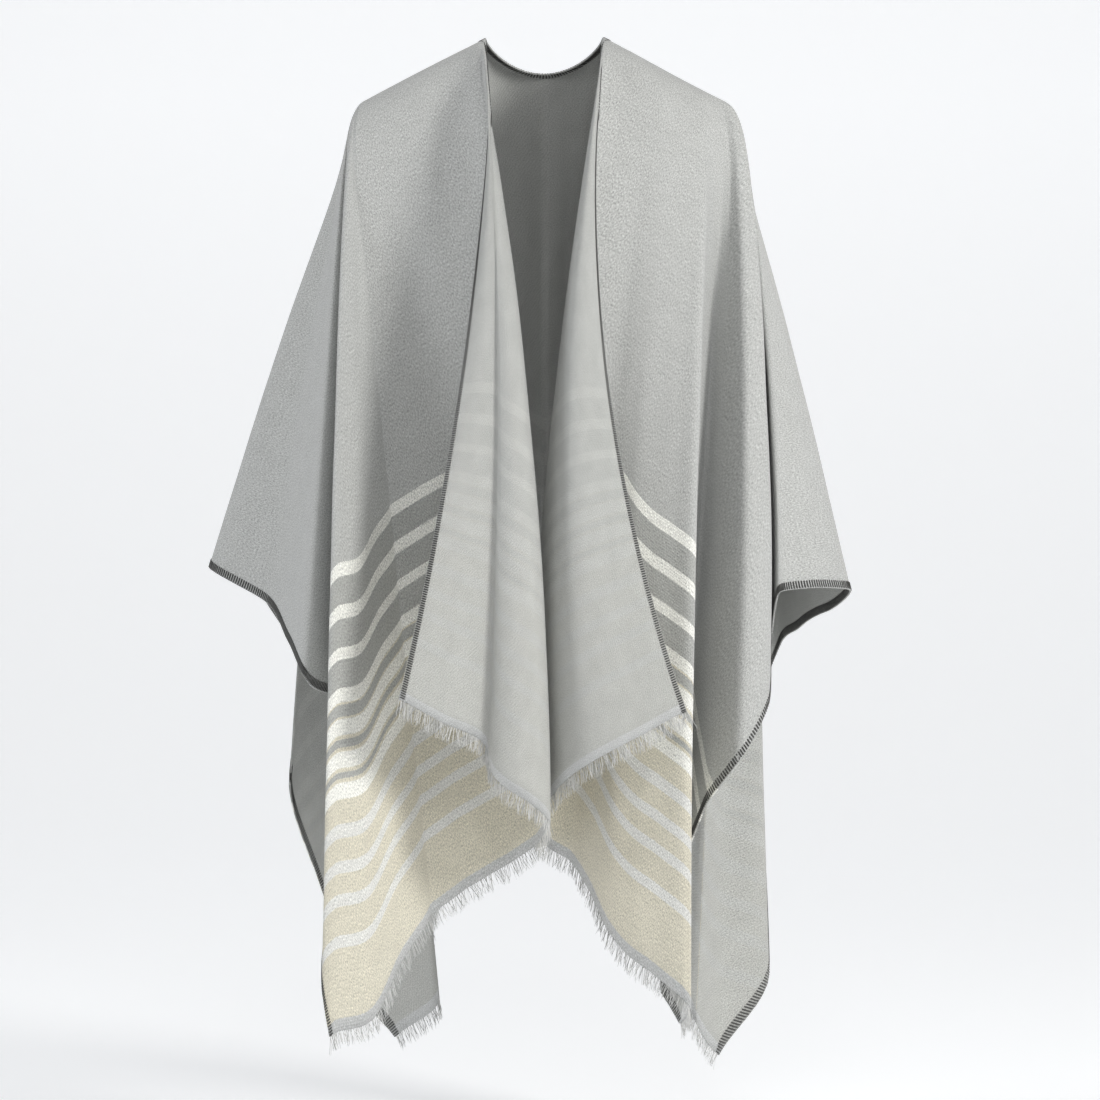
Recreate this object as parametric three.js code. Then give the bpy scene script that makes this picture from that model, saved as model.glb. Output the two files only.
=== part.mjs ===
// A ruana: one oblong of woven cloth, slit up the middle of its front and hung
// over two shoulders. Millimetres, +Z up, the front faces -Y.
//
// The cloth is described flat first. A point of the flat cut is `across`
// millimetres from the middle and `along` millimetres from the shoulder line,
// minus to the front hem and plus to the back hem. Straight rays run over the
// flat cut from the line that rests on the shoulders to the cut's edge, and each
// fold of the worn cloth is one such ray, hung at its own place.
import * as THREE from 'three';

const CUT = {
  halfWidth: 650,     // middle to wing edge
  halfLength: 750,    // shoulder line to hem
  neckHalf: 55,       // half the neck opening, on the shoulder line
  neckDepth: 70,      // neck curve, to the front and to the back
  shoulderRun: 128,   // neck point to shoulder point
};
const WALL = 2;           // thickness of the cloth
const SEAM_GAP = 0.3;     // parting between neighbouring pieces

// Where the cloth rests, for the side at plus X; the other side is its mirror.
const REST = {
  neck: new THREE.Vector3(55, 0, 56),
  shoulder: new THREE.Vector3(168, 0, -3),
  nape: new THREE.Vector3(0, 62, 30),
  throat: new THREE.Vector3(49, -90, -30),
};
const NAPE_RISE = 1.6;      // how late the back of the neck curve dips
const ROUND_ARM = 14;       // bend over the shoulder towards the arm
const ROUND_BODY = 32;      // added bend towards the front and the back
const ROUND_NECK = 0.85;    // share of the bend that the neck curve takes away

// Each row is a fold, read along the edge of one half of the flat cut, from the
// front slit round to the middle of the back.
//   edge     millimetres along the hem, wing edge and back hem
//   start    where its ray leaves: 0 the neck point, 1 the shoulder point,
//            -1 the far end of the neck curve
//   out      millimetres sideways from the middle, at the edge
//   back     millimetres backwards, at the edge
//   drop     millimetres below the shoulders, at the edge
//   bowOut   sideways bow of the fold at its middle
//   bowBack  backward bow of the fold at its middle
const COLUMNS = ['name', 'edge', 'start', 'out', 'back', 'drop', 'bowOut', 'bowBack'];
const LEFT = [
  ['lapel corner',         0,    -1,  129, -206, 558, -11, -16],
  ['lapel edge',          60, -0.75,   92, -190, 579, -11, -28],
  ['lapel ridge',        125,  -0.5,   53, -170, 601, -12, -40],
  ['lapel wave',         170,  -0.3,   46, -178, 626, -14, -50],
  ['lapel',              215, -0.15,   22, -182, 646, -16, -58],
  ['lapel roll',         290,     0,   -5, -156, 672, -18, -62],
  ['under the roll',     322,  0.15,    7, -104, 695, -12, -40],
  ['front inner',        355,  0.35,   32,  -84, 714,  -4, -24],
  ['front dip',          405,  0.75,   73,  -70, 739,   0, -16],
  ['front soft fold',    450,     1,  105,  -78, 762,   0, -14],
  ['front rise',         510,     1,  130, -118, 801,   0, -16],
  ['front outer',        575,     1,  154, -156, 848,   0, -24],
  ['front hem corner',   650,     1,  191, -194, 860,   0, -28],
  ['front side ridge',   700,     1,  198, -190, 814,   0, -26],
  ['side tuck',          880,     1,  183,  -44, 705,  -4,   4],
  ['side valley',       1060,     1,  190,   24, 572,  -4,   4],
  ['wing ridge',        1150,     1,  221,  -50, 547,   0,  -4],
  ['wing front',        1235,     1,  241,    0, 512,   0,  -2],
  ['wing curl',         1310,     1,  264,   50, 477,   0,   0],
  ['wing tip',          1400,     1,  324,   96, 443,   0,   0],
  ['wing back',         1490,     1,  300,  160, 447,   0,   6],
  ['wing back turn',    1600,     1,  284,  240, 472,   0,  12],
  ['back tuck',         1720,     1,  240,  226, 560,   0,  16],
  ['back side ridge',   1860,     1,  247,  112, 649,   4,   8],
  ['back side',         1980,     1,  222,  150, 750,   4,  14],
  ['back outer',        2110,     1,  170,  160, 878,   2,  18],
  ['back hem corner',   2150,     1,  147,  152, 904,   0,  18],
  ['back turn',         2230,     1,  103,  126, 863,   0,  16],
  ['pleat 1 in',        2310,  0.98,  114,  186, 809,   0,  26],
  ['pleat 1 out',       2390,   0.9,  102,  254, 752,   0,  34],
  ['pleat 2 out',       2450,  0.75,   74,  270, 716,   0,  36],
  ['pleat 2 side',      2520,   0.5,   66,  205, 710,   0,  30],
  ['pleat 2 in',        2590,   0.2,   56,  150, 689,   0,  24],
  ['pleat 3 out',       2660,  -0.2,   38,  206, 651,   0,  26],
  ['centre side',       2730,  -0.6,   20,  182, 646,   0,  22],
  ['centre',            2800,    -1,    0,  124, 668,   0,  14],
];
const RIGHT = [
  ['lapel corner',         0,    -1,  127, -196, 569, -27, -16],
  ['lapel edge',          72,  -0.7,   85, -192, 592, -26, -26],
  ['lapel ridge',        131, -0.45,   50, -184, 611, -26, -36],
  ['lapel wave',         185, -0.25,   23, -160, 630, -25, -44],
  ['lapel',              230, -0.12,    7, -126, 650, -25, -49],
  ['lapel roll',         290,     0,   -7,  -86, 689, -24, -50],
  ['under the roll',     318,  0.12,    5,  -62, 702, -16, -46],
  ['front inner',        345,  0.25,   24,  -64, 713,  -8, -42],
  ['front dip',          390,   0.4,   42,  -92, 738,  -4, -36],
  ['front soft fold',    430,   0.5,   53, -112, 762,  -6, -32],
  ['front rise',         475,   0.6,   72, -134, 789,  -6, -26],
  ['front outer',        530,  0.68,  100, -158, 809,  -6, -20],
  ['front side ridge',   590,  0.75,  130, -182, 835,  -6, -14],
  ['front hem corner',   650,  0.78,  123, -138, 856,  -6,  -8],
  ['side edge',          704,   0.8,  107,  -98, 827,  -2,   0],
  ['side tuck',          850,  0.84,  123,    0, 748,   2,   8],
  ['side valley',        985,  0.88,  150,  -46, 664,   5,   6],
  ['pleat face',        1036,  0.94,  178, -112, 619,   8,  -2],
  ['pleat ridge',       1090,     1,  206,  -86, 568,  10,   0],
  ['pleat valley',      1195,     1,  213,   -6, 512,   9,   6],
  ['wing roll',         1305,     1,  219,  -46, 465,  10,   2],
  ['wing front',        1350,     1,  256,  -24, 461,   4,   2],
  ['wing tip',          1400,     1,  291,   34, 464,   0,   0],
  ['wing back',         1495,     1,  273,  110, 486,   0,   6],
  ['wing back turn',    1595,     1,  253,  180, 502,   0,  14],
  ['wing inside',       1690,     1,  236,  228, 521,   0,  22],
  ['back tuck',         1830,     1,  210,  246, 622,   0,  26],
  ['back side ridge',   1950,     1,  220,  226, 734,   0,  18],
  ['back side',         2070,     1,  222,  196, 847,   2,  18],
  ['back hem corner',   2150,     1,  172,  184, 926,   0,  20],
  ['back turn',         2212,     1,  147,  132, 885,   0,  18],
  ['pleat 1 in',        2300,  0.98,  128,  196, 813,   0,  26],
  ['pleat 1 out',       2380,   0.9,  112,  252, 757,   0,  34],
  ['pleat 2 out',       2445,  0.75,   76,  272, 717,   0,  36],
  ['pleat 2 side',      2520,   0.5,   66,  205, 710,   0,  30],
  ['pleat 2 in',        2590,   0.2,   54,  150, 689,   0,  24],
  ['pleat 3 out',       2660,  -0.2,   36,  206, 651,   0,  26],
  ['centre side',       2730,  -0.6,   19,  182, 646,   0,  22],
  ['centre',            2800,    -1,    0,  124, 668,   0,  14],
];

const EDGE = {
  corner: CUT.halfWidth,
  wingTip: CUT.halfWidth + CUT.halfLength,
  backCorner: CUT.halfWidth + 2 * CUT.halfLength,
  end: 2 * CUT.halfWidth + 2 * CUT.halfLength,
};

// The point of the flat cut that lies `edge` millimetres along its outline.
function outline(edge) {
  if (edge <= EDGE.corner) return [edge, -CUT.halfLength];
  if (edge <= EDGE.backCorner) return [CUT.halfWidth, edge - EDGE.wingTip];
  return [EDGE.end - edge, CUT.halfLength];
}

// The point of the flat cut that a ray leaves from.
function restFlat(start, front) {
  if (start >= 0) return [CUT.neckHalf + CUT.shoulderRun * start, 0];
  const turn = -start * Math.PI / 2;
  const depth = CUT.neckDepth * Math.sin(turn);
  return [CUT.neckHalf * Math.cos(turn), front ? -depth : depth];
}

// The same point where the cloth rests on the wearer.
function restPlace(start, front, side) {
  const { neck, shoulder, nape, throat } = REST;
  const at = new THREE.Vector3();
  if (start >= 0) {
    at.lerpVectors(neck, shoulder, start);
  } else {
    const turn = -start * Math.PI / 2;
    if (front) {
      at.lerpVectors(neck, throat, -start);
      at.y = throat.y * Math.sin(turn);
    } else {
      at.x = neck.x * Math.cos(turn);
      at.y = nape.y * Math.sin(turn);
      at.z = neck.z + (nape.z - neck.z) * Math.sin(turn) ** NAPE_RISE;
    }
  }
  at.x *= side;
  return at;
}

// The flat direction of a ray, laid in the slope of the shoulder.
function layOnShoulder(across, along, side) {
  const slope = REST.shoulder.clone().sub(REST.neck).normalize();
  return new THREE.Vector3(slope.x * side * across, along, slope.z * across);
}

// How far a ray keeps to the shoulder before it hangs, at `run` along it.
function kept(run, along, start) {
  const bend = (ROUND_ARM + ROUND_BODY * along * along)
    * (1 - ROUND_NECK * Math.max(0, -start));
  return bend * (1 - Math.exp(-run / bend));
}

// One side's folds, with each ray's hanging direction and its ease, the length
// it hangs at for each millimetre of cloth.
function readFolds(rows, side) {
  return rows.map((row) => {
    const fold = Object.fromEntries(COLUMNS.map((name, i) => [name, row[i]]));
    const front = fold.edge < EDGE.wingTip;
    const [a0, b0] = restFlat(fold.start, front);
    const [a1, b1] = outline(fold.edge);
    const length = Math.hypot(a1 - a0, b1 - b0);
    const across = (a1 - a0) / length;
    const along = (b1 - b0) / length;
    const bent = kept(length, along, fold.start);
    const top = restPlace(fold.start, front, side)
      .addScaledVector(layOnShoulder(across, along, side), bent);
    const hang = new THREE.Vector3(fold.out * side, fold.back, -fold.drop).sub(top);
    const ease = hang.length() / (length - bent);
    hang.normalize();
    return {
      edge: fold.edge,
      start: fold.start,
      blend: [hang.x, hang.y, hang.z, ease, fold.bowOut * side, fold.bowBack],
    };
  });
}

// How steep the curve through the folds may be at a fold, against the gentler of
// the two slopes beside it: where it goes on, and where it turns. More would loop.
const SLOPE = { onward: 1.5, turning: 0.35 };

// A smooth curve through the folds, sampled at any edge position.
function blendFolds(folds) {
  const width = folds[0].blend.length;
  const step = (i) => folds[i + 1].edge - folds[i].edge;
  const rise = (i, k) => (folds[i + 1].blend[k] - folds[i].blend[k]) / step(i);
  const slopes = folds.map((_, i) => Array.from({ length: width }, (_, k) => {
    if (i === 0) return rise(0, k);
    if (i === folds.length - 1) return rise(i - 1, k);
    const before = step(i - 1);
    const after = step(i);
    const first = rise(i - 1, k);
    const second = rise(i, k);
    const slope = (first * after + second * before) / (before + after);
    const most = (first * second > 0 ? SLOPE.onward : SLOPE.turning)
      * Math.min(Math.abs(first), Math.abs(second));
    return Math.max(-most, Math.min(most, slope));
  }));
  return (edge) => {
    let i = 0;
    while (i < folds.length - 2 && edge > folds[i + 1].edge) i += 1;
    const h = step(i);
    const t = (edge - folds[i].edge) / h;
    const near = 2 * t ** 3 - 3 * t ** 2 + 1;
    const far = 1 - near;
    const leave = (t ** 3 - 2 * t ** 2 + t) * h;
    const arrive = (t ** 3 - t ** 2) * h;
    const value = Array.from({ length: width }, (_, k) => near * folds[i].blend[k]
      + far * folds[i + 1].blend[k] + leave * slopes[i][k] + arrive * slopes[i + 1][k]);
    const start = folds[i].start + (folds[i + 1].start - folds[i].start) * t;
    return { start, value };
  };
}

const LEFT_SIDE = -1;
const RIGHT_SIDE = 1;
const FRONT = -1;
const BACK = 1;
const FOLDS = {
  [LEFT_SIDE]: readFolds(LEFT, LEFT_SIDE),
  [RIGHT_SIDE]: readFolds(RIGHT, RIGHT_SIDE),
};
const curveOf = {
  [LEFT_SIDE]: blendFolds(FOLDS[LEFT_SIDE]),
  [RIGHT_SIDE]: blendFolds(FOLDS[RIGHT_SIDE]),
};

// Folds leave the shoulder softly and are full further down. Up there a ray hangs
// as the rays around it do on average.
const SOFT = { reach: 400, steps: 4, fade: 130 };

function softWay(side, edge) {
  const step = Math.min(SOFT.reach, edge, EDGE.end - edge) / SOFT.steps;
  const way = new THREE.Vector3();
  for (let k = -SOFT.steps; k <= SOFT.steps; k += 1) {
    const [x, y, z] = curveOf[side](edge + k * step).value;
    way.addScaledVector(new THREE.Vector3(x, y, z), SOFT.steps + 1 - Math.abs(k));
  }
  return way.normalize();
}

// The ray that ends at `edge`. Past the middle of the back the other side's rays
// go on.
function rayAt(side, edge) {
  if (edge > EDGE.end) return rayAt(-side, 2 * EDGE.end - edge);
  const front = edge < EDGE.wingTip;
  const { start, value } = curveOf[side](edge);
  const from = restFlat(start, front);
  const to = outline(edge);
  const length = Math.hypot(to[0] - from[0], to[1] - from[1]);
  return {
    side,
    start,
    value,
    soft: softWay(side, edge),
    length,
    top: restPlace(start, front, side),
    across: (to[0] - from[0]) / length,
    along: (to[1] - from[1]) / length,
  };
}

// Where the cloth hangs, `run` millimetres down a ray.
function hung(ray, run) {
  const [x, y, z, ease, bowOut, bowBack] = ray.value;
  const bent = kept(run, ray.along, ray.start);
  const bow = 4 * (run / ray.length) * (1 - run / ray.length);
  const full = 1 - Math.exp(-((run / SOFT.fade) ** 2));
  const way = new THREE.Vector3(x, y, z).normalize();
  way.lerpVectors(ray.soft, way, full).normalize();
  return ray.top.clone()
    .addScaledVector(layOnShoulder(ray.across, ray.along, ray.side), bent)
    .addScaledVector(way, ease * (run - bent))
    .add(new THREE.Vector3(bowOut * bow, bowBack * bow, 0));
}

// How the cloth lies at a share of a ray's length: straight across the rays, and
// out of the cloth. The neighbouring rays are felt for it.
const FEEL = 12;          // how far away they are felt, along the cut's edge
function lie(side, edge, share) {
  const ray = rayAt(side, edge);
  if (share === 0 && ray.start >= 0) {
    const slope = layOnShoulder(1, 0, side);
    return {
      across: new THREE.Vector3(0, 1, 0),
      outer: new THREE.Vector3(-slope.z * side, 0, slope.x * side),
    };
  }
  const at = (near) => {
    const other = rayAt(side, near);
    return hung(other, share * other.length);
  };
  const here = at(edge);
  const across = at(edge + FEEL).sub(here).normalize();
  if (edge >= FEEL) across.add(here.clone().sub(at(edge - FEEL)).normalize());
  across.normalize();
  const down = hung(ray, share * ray.length + 1).sub(here).normalize();
  return { across, outer: down.cross(across).multiplyScalar(side).normalize() };
}

// The wall's two faces `past` millimetres beyond a share of a ray: the outer
// point, then the inner one. On the shoulder line and down to the wing tip, half
// the gap of the seam parts the front from the back.
function faces({ side, edge, half, share, past = 0, thickness }) {
  const ray = rayAt(side, edge);
  const { across, outer } = lie(side, edge, share);
  const middle = hung(ray, share * ray.length + past);
  const onSeam = edge === EDGE.wingTip || (share === 0 && ray.start >= 0);
  if (onSeam) middle.addScaledVector(across, half * SEAM_GAP / 2);
  return [1, -1].map((way) => middle.clone().addScaledVector(outer, way * thickness / 2));
}

// A closed wall. Each column lists its places from the top down, each as an outer
// and an inner point, and the columns run from the left to the right. Where all
// rays leave one point, the columns share it. `locks` lists thread ends that are
// drawn out of the last edge, each between two columns.
function wall(columns, half, locks = []) {
  const points = [];
  const triangles = [];
  const numbers = [];
  columns.forEach((column, i) => {
    numbers.push(column.map((pair, j) => pair.map((point, k) => {
      const before = i > 0 ? numbers[i - 1][j][k] : 0;
      return i > 0 && points[before].equals(point) ? before : points.push(point) - 1;
    })));
  });
  const outer = (i, j) => numbers[i][j][0];
  const inner = (i, j) => numbers[i][j][1];
  const quad = (p, q, r, s) => {
    for (const [a, b, c] of [[p, q, r], [p, r, s]]) {
      if (a !== b && b !== c && c !== a) triangles.push([a, b, c]);
    }
  };
  const lastColumn = columns.length - 1;
  const lastRow = columns[0].length - 1;
  for (let i = 0; i < lastColumn; i += 1) {
    for (let j = 0; j < lastRow; j += 1) {
      quad(outer(i, j), outer(i + 1, j), outer(i + 1, j + 1), outer(i, j + 1));
      quad(inner(i, j), inner(i, j + 1), inner(i + 1, j + 1), inner(i + 1, j));
    }
    quad(outer(i, 0), inner(i, 0), inner(i + 1, 0), outer(i + 1, 0));
    const root = [outer(i, lastRow), outer(i + 1, lastRow), inner(i + 1, lastRow), inner(i, lastRow)];
    const lock = locks.find((one) => one.column === i);
    if (!lock) {
      quad(...root);
      continue;
    }
    const tip = lock.tip.map((point) => points.push(point) - 1);
    for (let k = 0; k < root.length; k += 1) {
      const next = (k + 1) % root.length;
      quad(root[k], root[next], tip[next], tip[k]);
    }
    quad(...tip);
  }
  for (let j = 0; j < lastRow; j += 1) {
    quad(outer(0, j), outer(0, j + 1), inner(0, j + 1), inner(0, j));
    quad(outer(lastColumn, j), inner(lastColumn, j), inner(lastColumn, j + 1),
      outer(lastColumn, j + 1));
  }
  // On the front the rows run the other way, so its triangles are turned round.
  const outwards = half === BACK ? triangles : triangles.map(([p, q, r]) => [p, r, q]);
  const geometry = new THREE.BufferGeometry();
  geometry.setAttribute('position',
    new THREE.Float32BufferAttribute(points.flatMap((p) => p.toArray()), 3));
  geometry.setIndex(outwards.flat());
  geometry.computeVertexNormals();
  return geometry;
}

// The rays that make the columns of a wall: one on every fold of the stretch, and
// more evenly between two folds, as [side, edge] from the left to the right.
const COLUMN_STEP = 26;   // the widest step between two columns, at the edge
function columnRays(sides, low, high) {
  const ofSide = (side) => {
    const edges = FOLDS[side].map((fold) => fold.edge).filter((e) => e >= low && e <= high);
    const steps = edges.slice(1).flatMap((next, i) => {
      const count = Math.ceil((next - edges[i]) / COLUMN_STEP);
      return Array.from({ length: count }, (_, k) => edges[i] + (next - edges[i]) * k / count);
    });
    return [...steps, high].map((edge) => [side, edge]);
  };
  if (sides.length === 1) {
    const rays = ofSide(sides[0]);
    return sides[0] === LEFT_SIDE ? rays.reverse() : rays;
  }
  return [...ofSide(LEFT_SIDE), ...ofSide(RIGHT_SIDE).reverse().slice(1)];
}

// The cloth's rows stand closer together over the shoulder.
const ROWS = 13;
const SHOULDER_CROWD = 1.6;
const SHARES = Array.from({ length: ROWS + 1 }, (_, j) => (j / ROWS) ** SHOULDER_CROWD);

function clothPiece(sides, half) {
  const [low, high] = half === FRONT ? [0, EDGE.wingTip] : [EDGE.wingTip, EDGE.end];
  return wall(columnRays(sides, low, high).map(([side, edge]) => (
    SHARES.map((share) => faces({ side, edge, half, share, thickness: WALL })))), half);
}

// The eyelash fringe: locks of loose thread ends on a narrow strip just past the
// hem, one lock under every second facet of the hem.
const STRIP = { gap: 1, width: 4, thickness: 1 };
const LOCK = { width: 8, length: 12, tip: 0.5 };

function fringePiece(sides, half) {
  const [low, high] = half === FRONT ? [0, EDGE.corner] : [EDGE.backCorner, EDGE.end];
  const rays = columnRays(sides, low, high);
  const place = (i, past, thickness) => {
    const [side, edge] = rays[i];
    return faces({ side, edge, half, share: 1, past, thickness });
  };
  const far = STRIP.gap + STRIP.width;
  const between = (left, right, share) => left.map((point, k) => point.clone().lerp(right[k], share));
  const columns = [];
  const locks = [];
  for (let i = 0; i < rays.length; i += 1) {
    const here = [STRIP.gap, far].map((past) => place(i, past, STRIP.thickness));
    columns.push(here);
    if (i % 2 === 1 || i + 1 === rays.length) continue;
    const next = [STRIP.gap, far].map((past) => place(i + 1, past, STRIP.thickness));
    const reach = LOCK.width / 2 / here[1][0].distanceTo(next[1][0]);
    const slim = reach * LOCK.tip;
    const ends = [i, i + 1].map((n) => place(n, far + LOCK.length, STRIP.thickness * LOCK.tip));
    const [left, right] = [0.5 - slim, 0.5 + slim].map((share) => between(...ends, share));
    locks.push({ column: columns.length, tip: [left[0], right[0], right[1], left[1]] });
    for (const share of [0.5 - reach, 0.5 + reach]) {
      columns.push(here.map((pair, j) => between(pair, next[j], share)));
    }
  }
  return wall(columns, half, locks);
}

const WOVEN = { color: 0x8f918c, roughness: 0.95, metalness: 0 };
const THREAD = { color: 0xd8d8d4, roughness: 0.95, metalness: 0 };
const BOTH = [LEFT_SIDE, RIGHT_SIDE];
const PIECES = [
  ['cloth_back', clothPiece(BOTH, BACK), WOVEN],
  ['cloth_front_left', clothPiece([LEFT_SIDE], FRONT), WOVEN],
  ['cloth_front_right', clothPiece([RIGHT_SIDE], FRONT), WOVEN],
  ['fringe_back', fringePiece(BOTH, BACK), THREAD],
  ['fringe_front_left', fringePiece([LEFT_SIDE], FRONT), THREAD],
  ['fringe_front_right', fringePiece([RIGHT_SIDE], FRONT), THREAD],
];

const ruana = new THREE.Group();
for (const [name, geometry, finish] of PIECES) {
  const mesh = new THREE.Mesh(geometry, new THREE.MeshStandardMaterial(finish));
  mesh.name = name;
  ruana.add(mesh);
}

export default ruana;
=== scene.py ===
"""A ruana in the Blender scene: fine cloth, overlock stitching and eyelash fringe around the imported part.

Shapes are worked out in millimetres, on the flat cut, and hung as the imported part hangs. Blender gets metres.
"""

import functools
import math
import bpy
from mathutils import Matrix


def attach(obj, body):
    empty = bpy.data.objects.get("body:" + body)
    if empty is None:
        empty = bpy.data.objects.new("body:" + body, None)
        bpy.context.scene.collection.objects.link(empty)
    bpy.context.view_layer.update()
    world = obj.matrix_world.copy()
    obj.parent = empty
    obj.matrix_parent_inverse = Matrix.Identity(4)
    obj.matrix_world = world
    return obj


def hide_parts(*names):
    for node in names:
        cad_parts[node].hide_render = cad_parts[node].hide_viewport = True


bl_info = {
    "name": "Ruana Dresser",
    "version": (1, 0, 0),
    "blender": (4, 5, 0),
    "location": "View3D > Sidebar > Ruana",
    "description": "Builds the woven cloth, the overlock and the fringe of a ruana, and its studio",
    "category": "Object",
}

import bmesh
import bpy
import numpy as np
from mathutils import Vector, noise
from mathutils.bvhtree import BVHTree

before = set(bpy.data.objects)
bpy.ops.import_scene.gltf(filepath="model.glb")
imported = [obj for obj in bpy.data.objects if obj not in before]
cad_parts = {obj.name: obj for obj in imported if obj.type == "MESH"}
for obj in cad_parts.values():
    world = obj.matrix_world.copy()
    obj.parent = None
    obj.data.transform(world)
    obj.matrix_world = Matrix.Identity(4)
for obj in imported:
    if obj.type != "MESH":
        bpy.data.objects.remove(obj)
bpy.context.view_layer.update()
MM = 0.001
TINY = 1e-9             # a length or a share below this counts as none

# ---------------------------------------------------------------- the flat cut and how it hangs
HALF_WIDTH = 650.0      # middle to wing edge
HALF_LENGTH = 750.0     # shoulder line to hem
NECK_HALF = 55.0        # half the neck opening, on the shoulder line
NECK_DEPTH = 70.0       # neck curve, to the front and to the back
SHOULDER_RUN = 128.0    # neck point to shoulder point
WALL = 1.5              # thickness of the cloth

# Where the cloth rests, for the side at plus X.
REST_NECK = np.array([55.0, 0.0, 56.0])
REST_SHOULDER = np.array([168.0, 0.0, -3.0])
REST_NAPE = np.array([0.0, 62.0, 30.0])
REST_THROAT = np.array([49.0, -90.0, -30.0])
NAPE_RISE = 1.6         # how late the back of the neck curve dips
ROUND_ARM = 14.0        # bend over the shoulder towards the arm
ROUND_BODY = 32.0       # added bend towards the front and the back
ROUND_NECK = 0.85       # share of the bend that the neck curve takes away
# Folds leave the shoulder softly, as the rays around them hang on average, and are full further down.
SOFT_REACH = 400.0      # how far along the edge the average is taken, each way
SOFT_STEPS = 4          # rays that it takes on each side
SOFT_FADE = 130.0       # how far down a ray its own way takes over
# How steep the curve through the folds may be at a fold, as a multiple of the gentler slope beside it. More
# than that would make it loop.
SLOPE_ONWARD = 1.5      # where both slopes go the same way
SLOPE_TURNING = 0.35    # where the curve turns back

WING_TIP = HALF_WIDTH + HALF_LENGTH
BACK_CORNER = HALF_WIDTH + 2 * HALF_LENGTH
EDGE_END = 2 * HALF_WIDTH + 2 * HALF_LENGTH

# A row is a fold, read along the edge of half the cut from the front slit round to the middle of the back:
# name, edge (mm along the hem, wing edge and back hem), start (0 neck point, 1 shoulder point, -1 the end of
# the neck curve), out, back and drop (mm, where the fold ends), bow_out and bow_back (mm, at its middle).
LEFT = [
    ("lapel corner",         0,    -1,  129, -206, 558, -11, -16),
    ("lapel edge",          60, -0.75,   92, -190, 579, -11, -28),
    ("lapel ridge",        125,  -0.5,   53, -170, 601, -12, -40),
    ("lapel wave",         170,  -0.3,   46, -178, 626, -14, -50),
    ("lapel",              215, -0.15,   22, -182, 646, -16, -58),
    ("lapel roll",         290,     0,   -5, -156, 672, -18, -62),
    ("under the roll",     322,  0.15,    7, -104, 695, -12, -40),
    ("front inner",        355,  0.35,   32,  -84, 714,  -4, -24),
    ("front dip",          405,  0.75,   73,  -70, 739,   0, -16),
    ("front soft fold",    450,     1,  105,  -78, 762,   0, -14),
    ("front rise",         510,     1,  130, -118, 801,   0, -16),
    ("front outer",        575,     1,  154, -156, 848,   0, -24),
    ("front hem corner",   650,     1,  191, -194, 860,   0, -28),
    ("front side ridge",   700,     1,  198, -190, 814,   0, -26),
    ("side tuck",          880,     1,  183,  -44, 705,  -4,   4),
    ("side valley",       1060,     1,  190,   24, 572,  -4,   4),
    ("wing ridge",        1150,     1,  221,  -50, 547,   0,  -4),
    ("wing front",        1235,     1,  241,    0, 512,   0,  -2),
    ("wing curl",         1310,     1,  264,   50, 477,   0,   0),
    ("wing tip",          1400,     1,  324,   96, 443,   0,   0),
    ("wing back",         1490,     1,  300,  160, 447,   0,   6),
    ("wing back turn",    1600,     1,  284,  240, 472,   0,  12),
    ("back tuck",         1720,     1,  240,  226, 560,   0,  16),
    ("back side ridge",   1860,     1,  247,  112, 649,   4,   8),
    ("back side",         1980,     1,  222,  150, 750,   4,  14),
    ("back outer",        2110,     1,  170,  160, 878,   2,  18),
    ("back hem corner",   2150,     1,  147,  152, 904,   0,  18),
    ("back turn",         2230,     1,  103,  126, 863,   0,  16),
    ("pleat 1 in",        2310,  0.98,  114,  186, 809,   0,  26),
    ("pleat 1 out",       2390,   0.9,  102,  254, 752,   0,  34),
    ("pleat 2 out",       2450,  0.75,   74,  270, 716,   0,  36),
    ("pleat 2 side",      2520,   0.5,   66,  205, 710,   0,  30),
    ("pleat 2 in",        2590,   0.2,   56,  150, 689,   0,  24),
    ("pleat 3 out",       2660,  -0.2,   38,  206, 651,   0,  26),
    ("centre side",       2730,  -0.6,   20,  182, 646,   0,  22),
    ("centre",            2800,    -1,    0,  124, 668,   0,  14),
]
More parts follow.
